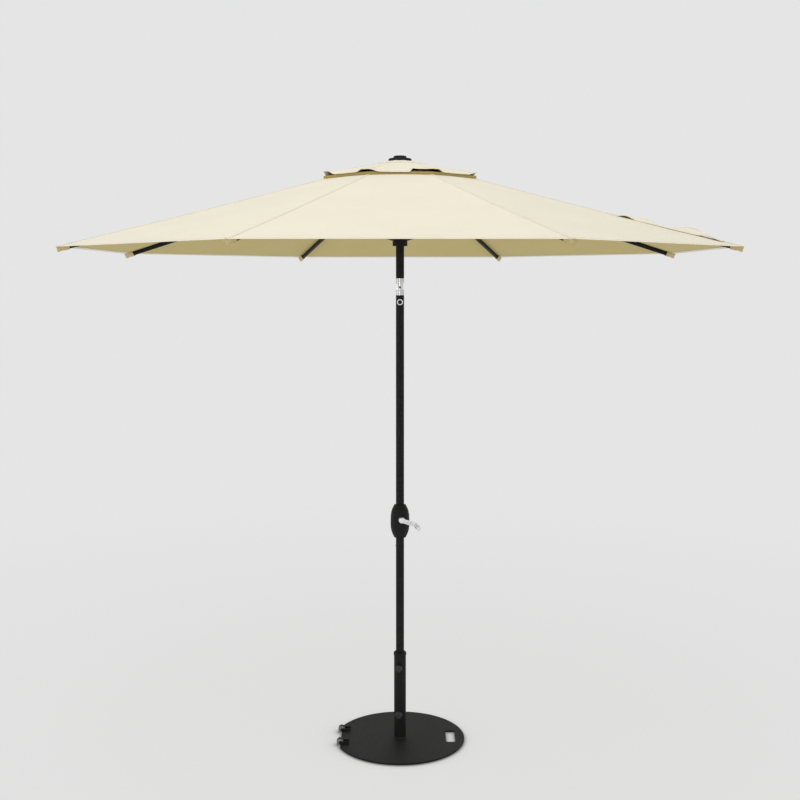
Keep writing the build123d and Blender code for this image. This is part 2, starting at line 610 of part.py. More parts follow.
def runner():
    """Sliding hub: a collar and a flange with a slot for each strut."""
    bottom, top = RUNNER_HEIGHT - RUNNER_DROP, RUNNER_HEIGHT + RUNNER_RISE
    outline = Polyline((0, bottom), (RUNNER_COLLAR, bottom), (RUNNER_COLLAR, bottom + 21),
                       (RUNNER_FLANGE, bottom + 26), (RUNNER_FLANGE, top), (0, top), close=True)
    body = revolve(Plane.XZ * make_face(outline), axis=Axis.Z)
    body -= rod(POLE_RADIUS + 0.5, bottom - 1, top + 1)
    # keyways that clear the tilt button's bezel and the tilt pin's heads as it slides past
    bezel_half, pin_half = BEZEL_RADIUS + 0.8, TILT_PIN + 2
    body -= box_between((-bezel_half, -22, bottom - 1), (bezel_half, 0, top + 1))
    body -= box_between((-pin_half, 0, bottom - 1), (pin_half, 19.3, top + 1))
    half = PIVOT_SLOT / 2
    slot = box_between((PIVOT_RADIUS - 6.6, -half, RUNNER_HEIGHT - 7), (60, half, top + 1))
    slot += cross_rod(PIVOT_PIN, PIVOT_RADIUS, 0, RUNNER_HEIGHT, 14.6)
    for index in range(RIBS):
        body -= on_rib(slot, index)
    return body


# ---- cloth ----
def at_azimuth(radius, azimuth, height):
    return Vector(radius * cos(radians(azimuth)), radius * sin(radians(azimuth)), height)


def octagon_point(corner_radius, azimuth, side, share, height):
    """A point on an octagon's edge, share of the way from the corner to the middle of one side."""
    corner = at_azimuth(corner_radius, azimuth, height)
    flat = corner_radius * cos(radians(HALF_GORE))
    centre = at_azimuth(flat, azimuth + side * HALF_GORE, height)
    return corner + (centre - corner) * share


def half_gore(azimuth, side, inner, outer, inner_height, outer_height, gap):
    """Flat cloth from a rib's line to the middle of the gore beside it."""
    half_width_inner = inner * sin(radians(HALF_GORE))
    half_width_outer = outer * sin(radians(HALF_GORE))
    points = [
        octagon_point(inner, azimuth, side, 0, inner_height),
        octagon_point(outer, azimuth, side, 0, outer_height),
        octagon_point(outer, azimuth, side, 1 - gap / half_width_outer, outer_height),
        octagon_point(inner, azimuth, side, 1 - gap / half_width_inner, inner_height),
    ]
    face = Face(Wire.make_polygon(points, close=True))
    return extrude(face, amount=FABRIC, dir=(0, 0, -1))


def canopy_panel(index):
    """The cloth that one rib carries: half a gore on each side of it."""
    inner_height = HEM_HEIGHT + (CANOPY_RADIUS - OPENING_RADIUS) * RISE
    halves = []
    for side in (-1, 1):
        halves.append(half_gore(rib_azimuth(index), side, OPENING_RADIUS, CANOPY_RADIUS,
                                inner_height, HEM_HEIGHT, CLEAR))
    return halves


def tie_strap():
    """Closing strap that lies along the ridge over one rib, as the space its waves take up."""
    rise = RIB_TOP + FABRIC + 2 * CLEAR
    half = STRAP_WIDTH / 2
    strap = box_between((STRAP_START, -half, rise), (STRAP_END, half, rise + STRAP_SPACE))
    return on_rib(along_rib(strap), RIBS - 1)


def vent_canopy():
    """Small cap over the vent: a flat centre, eight gores and a skirt."""
    cap = ring(VENT_CENTRE, POLE_BORE + CLEAR, VENT_TOP - FABRIC, VENT_TOP)
    for index in range(RIBS):
        for side in (-1, 1):
            cap += half_gore(rib_azimuth(index), side, VENT_CENTRE - 2, VENT_RADIUS,
                             VENT_TOP, VENT_EDGE, 0)
    outer = RegularPolygon(VENT_RADIUS, RIBS, rotation=HALF_GORE)
    inner = RegularPolygon(VENT_RADIUS - 1.4, RIBS, rotation=HALF_GORE)
    skirt = extrude(outer - inner, amount=VENT_SKIRT - FABRIC / 2)
    return cap + Pos(0, 0, VENT_EDGE - VENT_SKIRT) * skirt


# ---- the lift cord ----
def cord_along(path):
    """A round cord swept along a path."""
    section = Plane(path @ 0, z_dir=path % 0) * Circle(CORD_RADIUS)
    return sweep(section, path=path)


def lift_cord_lower():
    """From the reel up inside the pole to the tilt joint."""
    start = CRANK_HEIGHT + SPOOL_RADIUS + 2 * CORD_RADIUS + 0.6
    return cord_along(Line((CORD_OFFSET, 0, start), (CORD_OFFSET, 0, TILT_HEIGHT - 0.5)))


def lift_cord_upper():
    """From the tilt joint over the pulley and down outside the pole to the runner."""
    outside = PULLEY_X + PULLEY_CORD_RADIUS
    rising = Line((CORD_OFFSET, 0, TILT_HEIGHT + 0.5), (CORD_OFFSET, 0, PULLEY_HEIGHT))
    crest = (PULLEY_X, 0, PULLEY_HEIGHT + PULLEY_CORD_RADIUS)
    over = ThreePointArc((CORD_OFFSET, 0, PULLEY_HEIGHT), crest, (outside, 0, PULLEY_HEIGHT))
    falling = Line((outside, 0, PULLEY_HEIGHT), (outside, 0, RUNNER_HEIGHT + RUNNER_RISE))
    return cord_along(rising + over + falling)


def main():
    os.makedirs("parts", exist_ok=True)
    save("base_plate", base_plate())
    save("rubber_feet", *rubber_feet())
    save("stand_tube", stand_tube())
    save("tube_collar", tube_collar())
    for place, height in KNOB_HEIGHTS.items():
        save(f"knob_stud_{place}", knob_stud(height))
        save(f"knob_grip_{place}", knob_grip(height))
    forks = [piece(y) for piece in (wheel_bracket, wheel_axle) for y in (-WHEEL_Y, WHEEL_Y)]
    save("wheel_forks", *forks)
    save("wheel_front", wheel(-WHEEL_Y))
    save("wheel_rear", wheel(WHEEL_Y))

    save("lower_pole", lower_pole())
    save("pole_foot_cap", pole_foot_cap())
    save("mid_pole", mid_pole())
    save("snap_button", snap_button())
    front, rear = housing()
    save("housing_front", front)
    save("housing_rear", rear)
    save("housing_screws", *housing_screws())
    save("reel_shaft", reel_shaft())
    save("reel_cord", reel_cord())
    save("crank_arm", crank_arm())
    save("crank_grip", crank_grip())
    save("grip_end_cap", grip_end_cap())

    save("tilt_socket_lower", tilt_socket_lower())
    save("tilt_socket_upper", tilt_socket_upper())
    save("tilt_pin", tilt_pin())
    save("button_ring", button_ring())
    save("tilt_button", tilt_button())

    save("upper_pole", upper_pole())
    save("pulley", pulley())
    save("crown_hub", crown_hub())
    save("finial", finial())
    save("vent_canopy", vent_canopy())
    save("runner", runner())
    save("lift_cord_lower", lift_cord_lower())
    save("lift_cord_upper", lift_cord_upper())
    for index in range(RIBS):
        save(f"rib_{index + 1}", *rib(index))
        save(f"strut_{index + 1}", *strut(index))
        strap = [tie_strap()] if index == RIBS - 1 else []
        save(f"canopy_panel_{index + 1}", *canopy_panel(index), *strap)


if __name__ == "__main__":
    main()
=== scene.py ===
"""Looks of the market umbrella: cloth, seams, netting, strap, finishes, light and camera.

Metres, in the CAD model's frame: origin on the floor under the pole, +Z up, crank towards -Y.
"""
import json
from math import atan2, cos, exp, hypot, pi, radians, sin, sqrt, tan

import bpy
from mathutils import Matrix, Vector, noise

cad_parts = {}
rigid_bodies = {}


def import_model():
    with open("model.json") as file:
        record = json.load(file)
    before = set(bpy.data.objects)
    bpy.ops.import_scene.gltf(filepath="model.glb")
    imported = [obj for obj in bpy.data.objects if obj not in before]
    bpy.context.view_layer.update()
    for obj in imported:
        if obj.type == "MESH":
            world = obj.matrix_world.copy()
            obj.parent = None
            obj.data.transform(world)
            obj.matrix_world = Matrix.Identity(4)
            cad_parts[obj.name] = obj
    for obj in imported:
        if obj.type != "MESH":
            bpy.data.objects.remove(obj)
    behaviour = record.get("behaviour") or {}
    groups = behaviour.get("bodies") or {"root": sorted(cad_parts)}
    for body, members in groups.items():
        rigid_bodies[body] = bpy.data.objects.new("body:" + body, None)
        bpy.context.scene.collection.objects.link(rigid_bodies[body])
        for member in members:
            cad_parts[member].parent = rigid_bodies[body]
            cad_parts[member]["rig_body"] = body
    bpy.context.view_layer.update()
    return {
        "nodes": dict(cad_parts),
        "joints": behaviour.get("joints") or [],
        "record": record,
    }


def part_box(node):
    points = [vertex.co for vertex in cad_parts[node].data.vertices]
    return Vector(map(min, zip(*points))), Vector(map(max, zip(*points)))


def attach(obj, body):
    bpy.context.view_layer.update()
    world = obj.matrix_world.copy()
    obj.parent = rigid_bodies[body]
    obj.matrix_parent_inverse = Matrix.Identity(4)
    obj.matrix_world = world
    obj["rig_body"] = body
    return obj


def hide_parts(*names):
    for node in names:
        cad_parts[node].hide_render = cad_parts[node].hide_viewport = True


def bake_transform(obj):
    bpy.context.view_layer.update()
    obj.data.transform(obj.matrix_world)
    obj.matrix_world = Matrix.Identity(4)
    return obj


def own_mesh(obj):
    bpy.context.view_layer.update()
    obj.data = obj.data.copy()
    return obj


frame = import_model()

# ---- driving values, metres ----
RIBS = 8
HALF_GORE = pi / RIBS
SLOPE = radians(14.5)
LAYER = 0.0012                  # the CAD model's cloth thickness
CLOTH = 0.0007                  # one layer of the real cloth
OPENING = 0.235                 # axis to the corners of the hole under the vent cap
VENT_CENTRE = 0.034             # the cap's cloth starts here, under the finial
VENT_SPLIT = 0.100              # the cap's doubled centre ends here
THREAD = 0.00045                # half the width of a stitch
STITCH_PITCH = 0.0050
STITCH_LENGTH = 0.0034

# main canopy
CANOPY_RISE = 0.017             # how far the cloth stands off the ribs at the opening
CANOPY_SAG = 0.017              # how deep the middle of a gore sags between opening and hem
HEM_SAG = 0.0005
HEM_SCALLOP = 0.003
CANOPY_SEAM = 0.015             # widths of seams and hems
CANOPY_HEM = 0.022
VENT_SEAM = 0.011
BINDING = 0.02
VENT_HEM = 0.018
RIB_TOP = 0.0245                # the rib's upper face over its crown pivot
RIB_END = 1.3638                # the rib's outer end, from its crown pivot
POCKET_LENGTH = 0.043           # the pocket's part over the rib
POCKET_PAST = 0.0012            # and past the rib's end
POCKET_DEPTH = 0.0200
POCKET_HALF = 0.0070
POCKET_CUT = 0.06               # its width when cut
RIDGE_FALL = 0.107              # how fast the cloth falls away beside a rib

# closing strap, with distances along the rib from its crown pivot
STRAP_RIB = RIBS - 1
STRAP_START = 0.845
STRAP_END = 1.292
STRAP_WIDTH = 0.042
# where each wave starts and ends, and its height, at the edge on the ridge and at the far edge
STRAP_NEAR_WAVES = ((0.880, 0.965, 0.0085), (1.185, 1.290, 0.0060))
STRAP_FAR_WAVES = ((0.905, 1.060, 0.0150), (1.060, 1.288, 0.0205))
STRAP_REST = RIB_TOP + 0.0034

# vent cap
VENT_CENTRE_CUT = 0.07          # the doubled centre's cloth, down the slope
VENT_SEAM_START = 0.24          # share down at which the cap's seams come out
VENT_UNDERLAP = 0.12            # the cap's cloth starts this share down, under the doubled centre
VENT_DROP = 0.0735              # how far the cap's edge lies below its top
VENT_MEAN_DROP = 0.068
VENT_FALL = 0.07                # from the cap's centre to its edge, for the length of its cloth
VENT_SCALLOP = 0.018            # how far the middle of a gore's edge is drawn in
SKIRT_HEIGHT = 0.0125           # the soft band under the cap's edge
SKIRT_CUT = 0.028
NET_HEIGHT = 0.0185
NET_TOP_RADIUS = 0.262
# how high each corner of the cap flares, and how far along the edge on either side of it
CORNER_LIFT = (0.012, 0.010, 0.012, 0.014, 0.024, 0.014, 0.016, 0.015)
LIFT_REACH = ((0.55, 0.40), (0.40, 0.55), (0.50, 0.35), (0.35, 0.45),
              (0.40, 0.30), (0.34, 0.58), (0.58, 0.70), (0.40, 0.30))
# how much higher each gore's edge sits than the one over the crank, which hangs lowest
EDGE_RISE = (0.002, 0.003, 0.002, 0.003, 0.004, 0.0, 0.003, 0.003)

BACKGROUND = (0.783, 0.783, 0.783)

panel_low, panel_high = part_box("canopy_panel_1")
vent_low, vent_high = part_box("vent_canopy")
RADIUS = panel_high.x / cos(HALF_GORE)
HEM_HEIGHT = panel_low.z + LAYER
GORE_LENGTH = (RADIUS - OPENING) / cos(SLOPE)
VENT_RADIUS = vent_high.x / cos(HALF_GORE)
VENT_TOP = vent_high.z

joints = {joint["name"]: joint for joint in frame["joints"]}


def fold_joint(rib):
    return "canopy_fold" if rib == 0 else f"rib_{rib + 1}_fold"


def rib_azimuth(rib):
    return (rib + 0.5) * 2 * HALF_GORE


# ---- material helpers ----
def new_material(name, **constants):
    """A Principled material; each constant is set on the shader's own socket."""
    material = bpy.data.materials.new(name)
    material.use_nodes = True
    shader = material.node_tree.nodes["Principled BSDF"]
    for socket, value in constants.items():
        shader.inputs[socket.replace("_", " ")].default_value = value
    return material


def node(material, kind, settings=None, **inputs):
    """Adds a node; an input may be a value or another node's socket."""
    tree = material.node_tree
    made = tree.nodes.new(kind)
    for key, value in (settings or {}).items():
        setattr(made, key, value)
    for key, value in inputs.items():
        socket = made.inputs[key.replace("_", " ")]
        if isinstance(value, bpy.types.NodeSocket):
            tree.links.new(value, socket)
        else:
            socket.default_value = value
    return made


def finish_with(material, **links):
    """Links sockets to the shader."""
    shader = material.node_tree.nodes["Principled BSDF"]
    for socket, value in links.items():
        material.node_tree.links.new(value, shader.inputs[socket.replace("_", " ")])
    return material


def place(material, stretch=(1, 1, 1), uv=None):
    """Coordinates in metres: the piece's own, or a named UV map laid out in metres."""
    if uv:
        source = node(material, "ShaderNodeUVMap", {"uv_map": uv}).outputs["UV"]
    else:
        source = node(material, "ShaderNodeTexCoord").outputs["Object"]
    return node(material, "ShaderNodeMapping", Vector=source, Scale=stretch).outputs["Vector"]


def speckle(material, at, scale, detail=3.0, roughness=0.5):
    """Noise from 0 to 1."""
    made = node(material, "ShaderNodeTexNoise", Vector=at, Scale=scale, Detail=detail, Roughness=roughness)
    return made.outputs["Fac"]


def spread(material, value, low, high, out_low=0.0, out_high=1.0):
    """A value from low to high, taken to the output range and clamped."""
    made = node(material, "ShaderNodeMapRange", Value=value, From_Min=low, From_Max=high,
                To_Min=out_low, To_Max=out_high)
    return made.outputs["Result"]


def mix(material, share, first, second):
    """A colour between two; each may be a colour or a socket."""
    made = node(material, "ShaderNodeMix", {"data_type": "RGBA"})
    tree = material.node_tree
    tree.links.new(share, made.inputs[0])
    for index, value in ((6, first), (7, second)):
        if isinstance(value, bpy.types.NodeSocket):
            tree.links.new(value, made.inputs[index])
        else:
            made.inputs[index].default_value = (*value, 1)
    return made.outputs[2]


def calculate(material, operation, first, second):
    made = node(material, "ShaderNodeMath", {"operation": operation})
    for index, value in enumerate((first, second)):
        if isinstance(value, bpy.types.NodeSocket):
            material.node_tree.links.new(value, made.inputs[index])
        else:
            made.inputs[index].default_value = value
    return made.outputs[0]


def bump(material, height, depth, strength=1.0, under=None):
    """A bump of the given depth in metres, on top of another one if given."""
    made = node(material, "ShaderNodeBump", Height=height, Distance=depth, Strength=strength)
    if under:
        material.node_tree.links.new(under, made.inputs["Normal"])
    return made.outputs["Normal"]


def painted_edge_highlight(material, amount=0.5):
    """Up to the amount on sharp outer edges as a painted highlight, 0 elsewhere, broken up by noise."""
    sharp = node(material, "ShaderNodeNewGeometry").outputs["Pointiness"]
    edge = spread(material, sharp, 0.53, 0.60)
    broken_up = spread(material, speckle(material, place(material), 160.0, 4), 0.45, 0.7)
    return calculate(material, "MULTIPLY", calculate(material, "MULTIPLY", edge, broken_up), amount)


# ---- materials ----
def cloth(name, light, dark, sheen=0.15):
    """Plain-woven polyester: threads both ways, slubs along them and a soft cloudy tone."""
    material = new_material(name, Roughness=0.86, Sheen_Weight=sheen, Sheen_Roughness=0.4,
                            Specular_IOR_Level=0.25)
    flat = place(material, uv="cut")
    threads = 2 * pi / 0.0011
    across = node(material, "ShaderNodeSeparateXYZ", Vector=flat)
    warp = calculate(material, "SINE", calculate(material, "MULTIPLY", across.outputs["X"], threads), 0)
    weft = calculate(material, "SINE", calculate(material, "MULTIPLY", across.outputs["Y"], threads), 0)
    weave = calculate(material, "MULTIPLY", warp, weft)
    slub_across = speckle(material, place(material, (40, 900, 1), uv="cut"), 1.0, 2)
    slub_along = speckle(material, place(material, (900, 40, 1), uv="cut"), 1.0, 2)
    slub = calculate(material, "MULTIPLY", slub_across, slub_along)
    cloud = speckle(material, place(material), 5.0, 3)
    tone = calculate(material, "ADD", spread(material, slub, 0.12, 0.42, 0.0, 0.6),
                     spread(material, cloud, 0.3, 0.7, 0.0, 0.4))
    relief = bump(material, weave, 0.00012, 0.5)
    relief = bump(material, slub, 0.0003, 0.35, relief)
    return finish_with(material, Base_Color=mix(material, tone, dark, light), Normal=relief)


def thread(name, light, dark):
    """Twisted sewing thread in tan: partly its own colour, partly painted shade of the seam lines."""
    material = new_material(name, Roughness=0.6, Sheen_Weight=0.3)
    twist = node(material, "ShaderNodeTexWave", Vector=place(material), Scale=900.0, Distortion=2.0)
    strands = twist.outputs["Fac"]
    return finish_with(material, Base_Color=mix(material, strands, dark, light),
                       Normal=bump(material, strands, 0.0001))


def powder_coat(name, colour, edge_highlight_colour, grain, depth, roughness):
    """Baked coating with a fine orange-peel grain; its sharp edges are painted lighter as a highlight."""
    material = new_material(name, Specular_IOR_Level=0.16)
    at = place(material)
    peel = speckle(material, at, grain, 4, 0.6)
    dust = spread(material, speckle(material, at, 9.0, 5), 0.35, 0.75, 0.0, 0.25)
    lighter = tuple(channel * 1.7 for channel in colour)
    base = mix(material, dust, colour, lighter)
    # painted highlight: lighter colour on the sharp edges
    base = mix(material, painted_edge_highlight(material), base, edge_highlight_colour)
    rough = spread(material, peel, 0.3, 0.7, roughness - 0.06, roughness + 0.08)
    return finish_with(material, Base_Color=base, Roughness=rough, Normal=bump(material, peel, depth, 0.6))


def moulded_plastic(name, colour, grain, depth, roughness):
    """Injection-moulded plastic with a spark-eroded texture."""
    material = new_material(name, Specular_IOR_Level=0.16)
    at = place(material)
    pits = node(material, "ShaderNodeTexVoronoi", Vector=at, Scale=grain).outputs["Distance"]
    flow = spread(material, speckle(material, at, 14.0, 4), 0.3, 0.7)
    lighter = tuple(channel * 1.35 for channel in colour)
    rough = spread(material, flow, 0.0, 1.0, roughness - 0.05, roughness + 0.07)
    return finish_with(material, Base_Color=mix(material, flow, colour, lighter), Roughness=rough,
                       Normal=bump(material, pits, depth, 0.5))


def polished_metal(name, colour, dark, roughness, brush=(30, 30, 900)):
    """Bright metal with fine polishing lines and faint smudges."""
    material = new_material(name, Metallic=1.0)
    lines = speckle(material, place(material, brush), 1.0, 3)
    smudge = speckle(material, place(material), 45.0, 5)
    rough = spread(material, smudge, 0.3, 0.75, roughness, roughness + 0.16)
    return finish_with(material, Base_Color=mix(material, spread(material, smudge, 0.35, 0.8), colour, dark),
                       Roughness=rough, Normal=bump(material, lines, 0.00003, 0.4))


def wheel_plastic(name):
    """Wheels: a black moulded tread and grey hub faces, told apart by which way the surface looks."""
    material = new_material(name, Specular_IOR_Level=0.25)
    at = place(material)
    looks = node(material, "ShaderNodeTexCoord").outputs["Normal"]
    sideways = node(material, "ShaderNodeSeparateXYZ", Vector=looks).outputs["Y"]
    face = spread(material, calculate(material, "ABSOLUTE", sideways, 0), 0.55, 0.80)
    pits = speckle(material, at, 700.0, 3)
    scuff = spread(material, speckle(material, at, 60.0, 5), 0.35, 0.7)
    grey = mix(material, scuff, (0.19, 0.19, 0.195), (0.30, 0.30, 0.30))
    tread = mix(material, scuff, (0.010, 0.010, 0.010), (0.022, 0.022, 0.022))
    return finish_with(material, Base_Color=mix(material, face, tread, grey),
                       Roughness=spread(material, pits, 0.3, 0.7, 0.45, 0.7),
                       Normal=bump(material, pits, 0.0002, 0.5))


def rubber(name, colour):
    """Dull rubber with a dusty, finely pitted skin."""
    material = new_material(name, Specular_IOR_Level=0.3)
    at = place(material)
    pits = speckle(material, at, 1500.0, 2)
    dust = spread(material, speckle(material, at, 30.0, 5), 0.4, 0.75, 0.0, 0.5)
    dusty = tuple(channel + 0.03 for channel in colour)
    return finish_with(material, Base_Color=mix(material, dust, colour, dusty),
                       Roughness=spread(material, pits, 0.3, 0.7, 0.75, 0.95),
                       Normal=bump(material, pits, 0.0002, 0.5))


def rope(name, light, dark):
    """Braided cord."""
    material = new_material(name, Roughness=0.8, Sheen_Weight=0.2)
    braid = node(material, "ShaderNodeTexWave", {"bands_direction": "DIAGONAL"},
                 Vector=place(material), Scale=260.0, Distortion=1.5)
    plait = braid.outputs["Fac"]
    return finish_with(material, Base_Color=mix(material, plait, dark, light),
                       Normal=bump(material, plait, 0.0004, 0.8))


def netting(name):
    """Black polyester mesh: round holes painted near-black as the shade seen through them, between paler
    black threads.
    """
    material = new_material(name, Specular_IOR_Level=0.2)
    at = place(material, uv="cut")
    cells = node(material, "ShaderNodeTexVoronoi", Vector=at, Scale=700.0, Randomness=0.05)
    threads = spread(material, cells.outputs["Distance"], 0.15, 0.5)
    # the holes' near-black is painted shade of the space behind the mesh; the threads' black is the mesh's
    # own
    colour = mix(material, threads, (0.0015, 0.0015, 0.0015), (0.012, 0.012, 0.012))
    return finish_with(material, Base_Color=colour,
                       Roughness=spread(material, threads, 0.0, 1.0, 0.95, 0.6),
                       Normal=bump(material, threads, 0.0004, 0.7))


CREAM = (0.800, 0.750, 0.610)
CREAM_SHADE = (0.750, 0.700, 0.560)
# The underside's olive is painted shade: the cream cloth as seen from below in shade, warmed by painted
# light through the cloth.
OLIVE_PAINTED_SHADE = (0.60, 0.50, 0.215)
OLIVE_PAINTED_SHADE_DARK = (0.55, 0.45, 0.18)
# The pocket's olive tan is painted shade on the cream cloth.
POCKET = (0.62, 0.51, 0.26)
POCKET_SHADE = (0.53, 0.43, 0.20)
# The band's dark brown is painted shadow under the vent cap's edge.
SKIRT = (0.40, 0.30, 0.10)
SKIRT_SHADE = (0.34, 0.25, 0.075)

materials = {
    "top_cloth": cloth("top_cloth", CREAM, CREAM_SHADE),
    # underside: painted shade and painted light through the cloth
    "under_cloth_painted_shade": cloth("under_cloth_painted_shade", OLIVE_PAINTED_SHADE, OLIVE_PAINTED_SHADE_DARK, 0.05),
    # pocket: painted shade
    "pocket_cloth_painted_shade": cloth("pocket_cloth_painted_shade", POCKET, POCKET_SHADE, 0.05),
    # band under the vent cap: painted shadow
    "skirt_painted_shadow": cloth("skirt_painted_shadow", SKIRT, SKIRT_SHADE, 0.05),
    # thread: its own tan, darkened partly as painted shade of the seam lines
    "thread": thread("thread", (0.60, 0.50, 0.33), (0.42, 0.34, 0.20)),
    "netting": netting("netting"),
    "stand_steel": powder_coat("stand_steel", (0.0085, 0.0085, 0.009), (0.05, 0.05, 0.05),
                               420.0, 0.0006, 0.58),
    "pole_black": powder_coat("pole_black", (0.0045, 0.0045, 0.005), (0.03, 0.03, 0.03),
                              700.0, 0.00012, 0.47),
    "rib_black": powder_coat("rib_black", (0.0055, 0.0055, 0.006), (0.03, 0.03, 0.03), 700.0, 0.00015, 0.50),
    "moulded_black": moulded_plastic("moulded_black", (0.0075, 0.0075, 0.008), 900.0, 0.0003, 0.52),
    "knob_grey": moulded_plastic("knob_grey", (0.036, 0.036, 0.038), 900.0, 0.0002, 0.45),
    "wheel_grey": wheel_plastic("wheel_grey"),
    "rubber_black": rubber("rubber_black", (0.012, 0.012, 0.012)),
    "zinc_steel": polished_metal("zinc_steel", (0.62, 0.63, 0.65), (0.42, 0.42, 0.44), 0.28),
    "polished_silver": polished_metal("polished_silver", (0.70, 0.70, 0.71), (0.56, 0.56, 0.58), 0.20),
    "dark_rivet": polished_metal("dark_rivet", (0.10, 0.10, 0.105), (0.05, 0.05, 0.05), 0.3),
    "crank_silver": polished_metal("crank_silver", (0.88, 0.88, 0.89), (0.70, 0.70, 0.72), 0.30),
    "cord_white": rope("cord_white", (0.80, 0.79, 0.75), (0.45, 0.44, 0.40)),
}


def finish_cad_nodes():
    """Gives every carried-over CAD node its procedural material."""
    for part in frame["record"]["subparts"]:
        cad = frame["nodes"][part["node"]]
        finish = materials.get(part["material_slot"])
        if finish:
            cad.data.materials.clear()
            cad.data.materials.append(finish)


# ---- mesh helpers ----
def add_mesh(name, points, faces, finishes, body, uvs=None):
    """A smooth mesh piece that rides a body. uvs gives each point's place on the flat cut, in metres."""
    mesh = bpy.data.meshes.new(name)
    mesh.from_pydata(points, [], faces)
    for finish in finishes:
        mesh.materials.append(materials[finish])
    if uvs:
        layer = mesh.uv_layers.new(name="cut")
        for loop in mesh.loops:
            layer.data[loop.index].uv = uvs[loop.vertex_index]
    mesh.shade_smooth()
    piece = bpy.data.objects.new(name, mesh)
    bpy.context.scene.collection.objects.link(piece)
    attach(piece, body)
    return piece


def grid(columns, rows, at):
    """Points at(u, v) for u and v from 0 to 1, the faces between them, and their u and v."""
    shares = [(column / columns, row / rows) for row in range(rows + 1) for column in range(columns + 1)]
    points = [at(u, v) for u, v in shares]
    wide = columns + 1
    faces = []
    for row in range(rows):
        for column in range(columns):
            start = row * wide + column
            faces.append((start, start + 1, start + 1 + wide, start + wide))
    return points, faces, shares


def thicken(piece, thickness, under=None, rim=True):
    """Gives a sheet its thickness, half on each side; under is the second material's index."""
    solid = piece.modifiers.new("thickness", "SOLIDIFY")
    solid.thickness = thickness
    solid.offset = 0
    solid.use_even_offset = False
    solid.use_rim = rim
    if under is not None:
        solid.material_offset = under
        solid.material_offset_rim = under
    return piece


def gather(piece):
    """Gives the piece its own copy of its mesh."""
    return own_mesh(piece)


def stitches(name, rows, body):
    """Short raised dashes along each row; a row is a function of 0 to 1 and its length in metres."""
    points, faces = [], []
    for place_at, length in rows:
        count = int(length / STITCH_PITCH)
        for index in range(count):
            middle = (index + 0.5) / count
            reach = STITCH_LENGTH / length / 2
            start, end = place_at(middle - reach), place_at(middle + reach)
            along = (end - start).normalized()
            side = along.cross(Vector((0, 0, 1))).normalized() * THREAD
            lift = side.cross(along) * 1.1
            centre = (start + end) / 2
            first = len(points)
            points += [start, end, centre + side, centre - side, centre + lift]
            faces += [(first, first + 2, first + 4), (first + 2, first + 1, first + 4),
                      (first + 1, first + 3, first + 4), (first + 3, first, first + 4),
                      (first, first + 3, first + 1, first + 2)]
    return add_mesh(name, points, faces, ["thread"], body)


# ---- main canopy ----
def corner(gore, radius, height):
    azimuth = rib_azimuth(gore)
    return Vector((radius * cos(azimuth), radius * sin(azimuth), height))


def cloth_height(radius):
    """Middle of the cloth on a rib's line, which stands a little off the rib near the opening."""
    share_up = (RADIUS - radius) / (RADIUS - OPENING)
    return HEM_HEIGHT + (RADIUS - radius) * tan(SLOPE) - LAYER / 2 + CANOPY_RISE * share_up ** 2


def ripple(point, arch, down):
    """Soft waves of a taut panel, a millimetre or two high, none on the ribs."""
    slow = noise.noise(Vector((point.x * 2.1, point.y * 2.1, 0.3)))
    quick = noise.noise(Vector((point.x * 6.5, point.y * 6.5, 4.7)))
    return arch * (0.0014 * slow + 0.0006 * quick * down) * (1 - 0.6 * down ** 4)


def tip_creases(across, down):
    """Pulls that run from a rib's tip into the panel."""
    height = 0.0
    for share in (across, 1 - across):
        lateral, along = share * 2 * RADIUS * sin(HALF_GORE), (1 - down) * (RADIUS - OPENING)
        distance, angle = hypot(lateral, along), atan2(lateral, along)
        height += 0.0009 * sin(angle * 11) * sin(angle * 2) * exp(-distance / 0.22)
    return height


def canopy_point(gore, across, down):
    """A point of the canopy: share across the gore from rib to rib, share down it to the hem."""
    radius = OPENING + (RADIUS - OPENING) * down
    height = cloth_height(radius)
    point = corner(gore, radius, height).lerp(corner(gore + 1, radius, height), across)
    arch = 4 * across * (1 - across)
    sag = CANOPY_SAG * down * (1 - down) + HEM_SAG * down
    scallop = HEM_SCALLOP * arch * down ** 6
    out = Vector((point.x, point.y, 0)).normalized()
    point -= out * scallop
    point.z += -arch * sag + scallop * tan(SLOPE) + ripple(point, arch, down) + tip_creases(across, down)
    return point


def beside_rib(rib, share):
    """Gore and share across it, for a share from -1 to 1 of the half gores beside a rib."""
    if share < 0:
        return rib - 1, 1 + share / 2
    return rib, share / 2


def half_width(radius):
    return radius * sin(HALF_GORE)


def lift_off(surface, gore, across, down, lift):
    """A surface point moved along the surface's normal, upwards for a positive lift."""
    step = 0.002
    here = surface(gore, across, down)
    along = surface(gore, across, min(down + step, 1)) - surface(gore, across, max(down - step, 0))
    beside = surface(gore, across + step, down) - surface(gore, across - step, down)
    normal = beside.cross(along).normalized()
    return here + (normal if normal.z > 0 else -normal) * lift


def canopy_gores(rib):
    """The sheet that one rib carries, from the middle of one gore to the middle of the next."""
    def at(u, v):
        gore, across = beside_rib(rib, 2 * u - 1)
        return canopy_point(gore, across, v)

    points, faces, shares = grid(48, 72, at)
    uvs = []
    for u, v in shares:
        radius = OPENING + (RADIUS - OPENING) * v
        uvs.append(((2 * u - 1) * half_width(radius), v * GORE_LENGTH))
    piece = add_mesh(f"canopy_cloth_{rib + 1}", points, faces, ["top_cloth", "under_cloth_painted_shade"],
                     f"arm_{rib + 1}", uvs)
    face_up(piece)
    thicken(piece, CLOTH, under=1, rim=False)
    gather(piece)
    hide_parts(f"canopy_panel_{rib + 1}")
    return piece


def face_up(piece):
    """Turns a sheet's faces so that their normals look up."""
    piece.data.update()
    total = sum(face.normal.z * face.area for face in piece.data.polygons)
    if total < 0:
        piece.data.flip_normals()


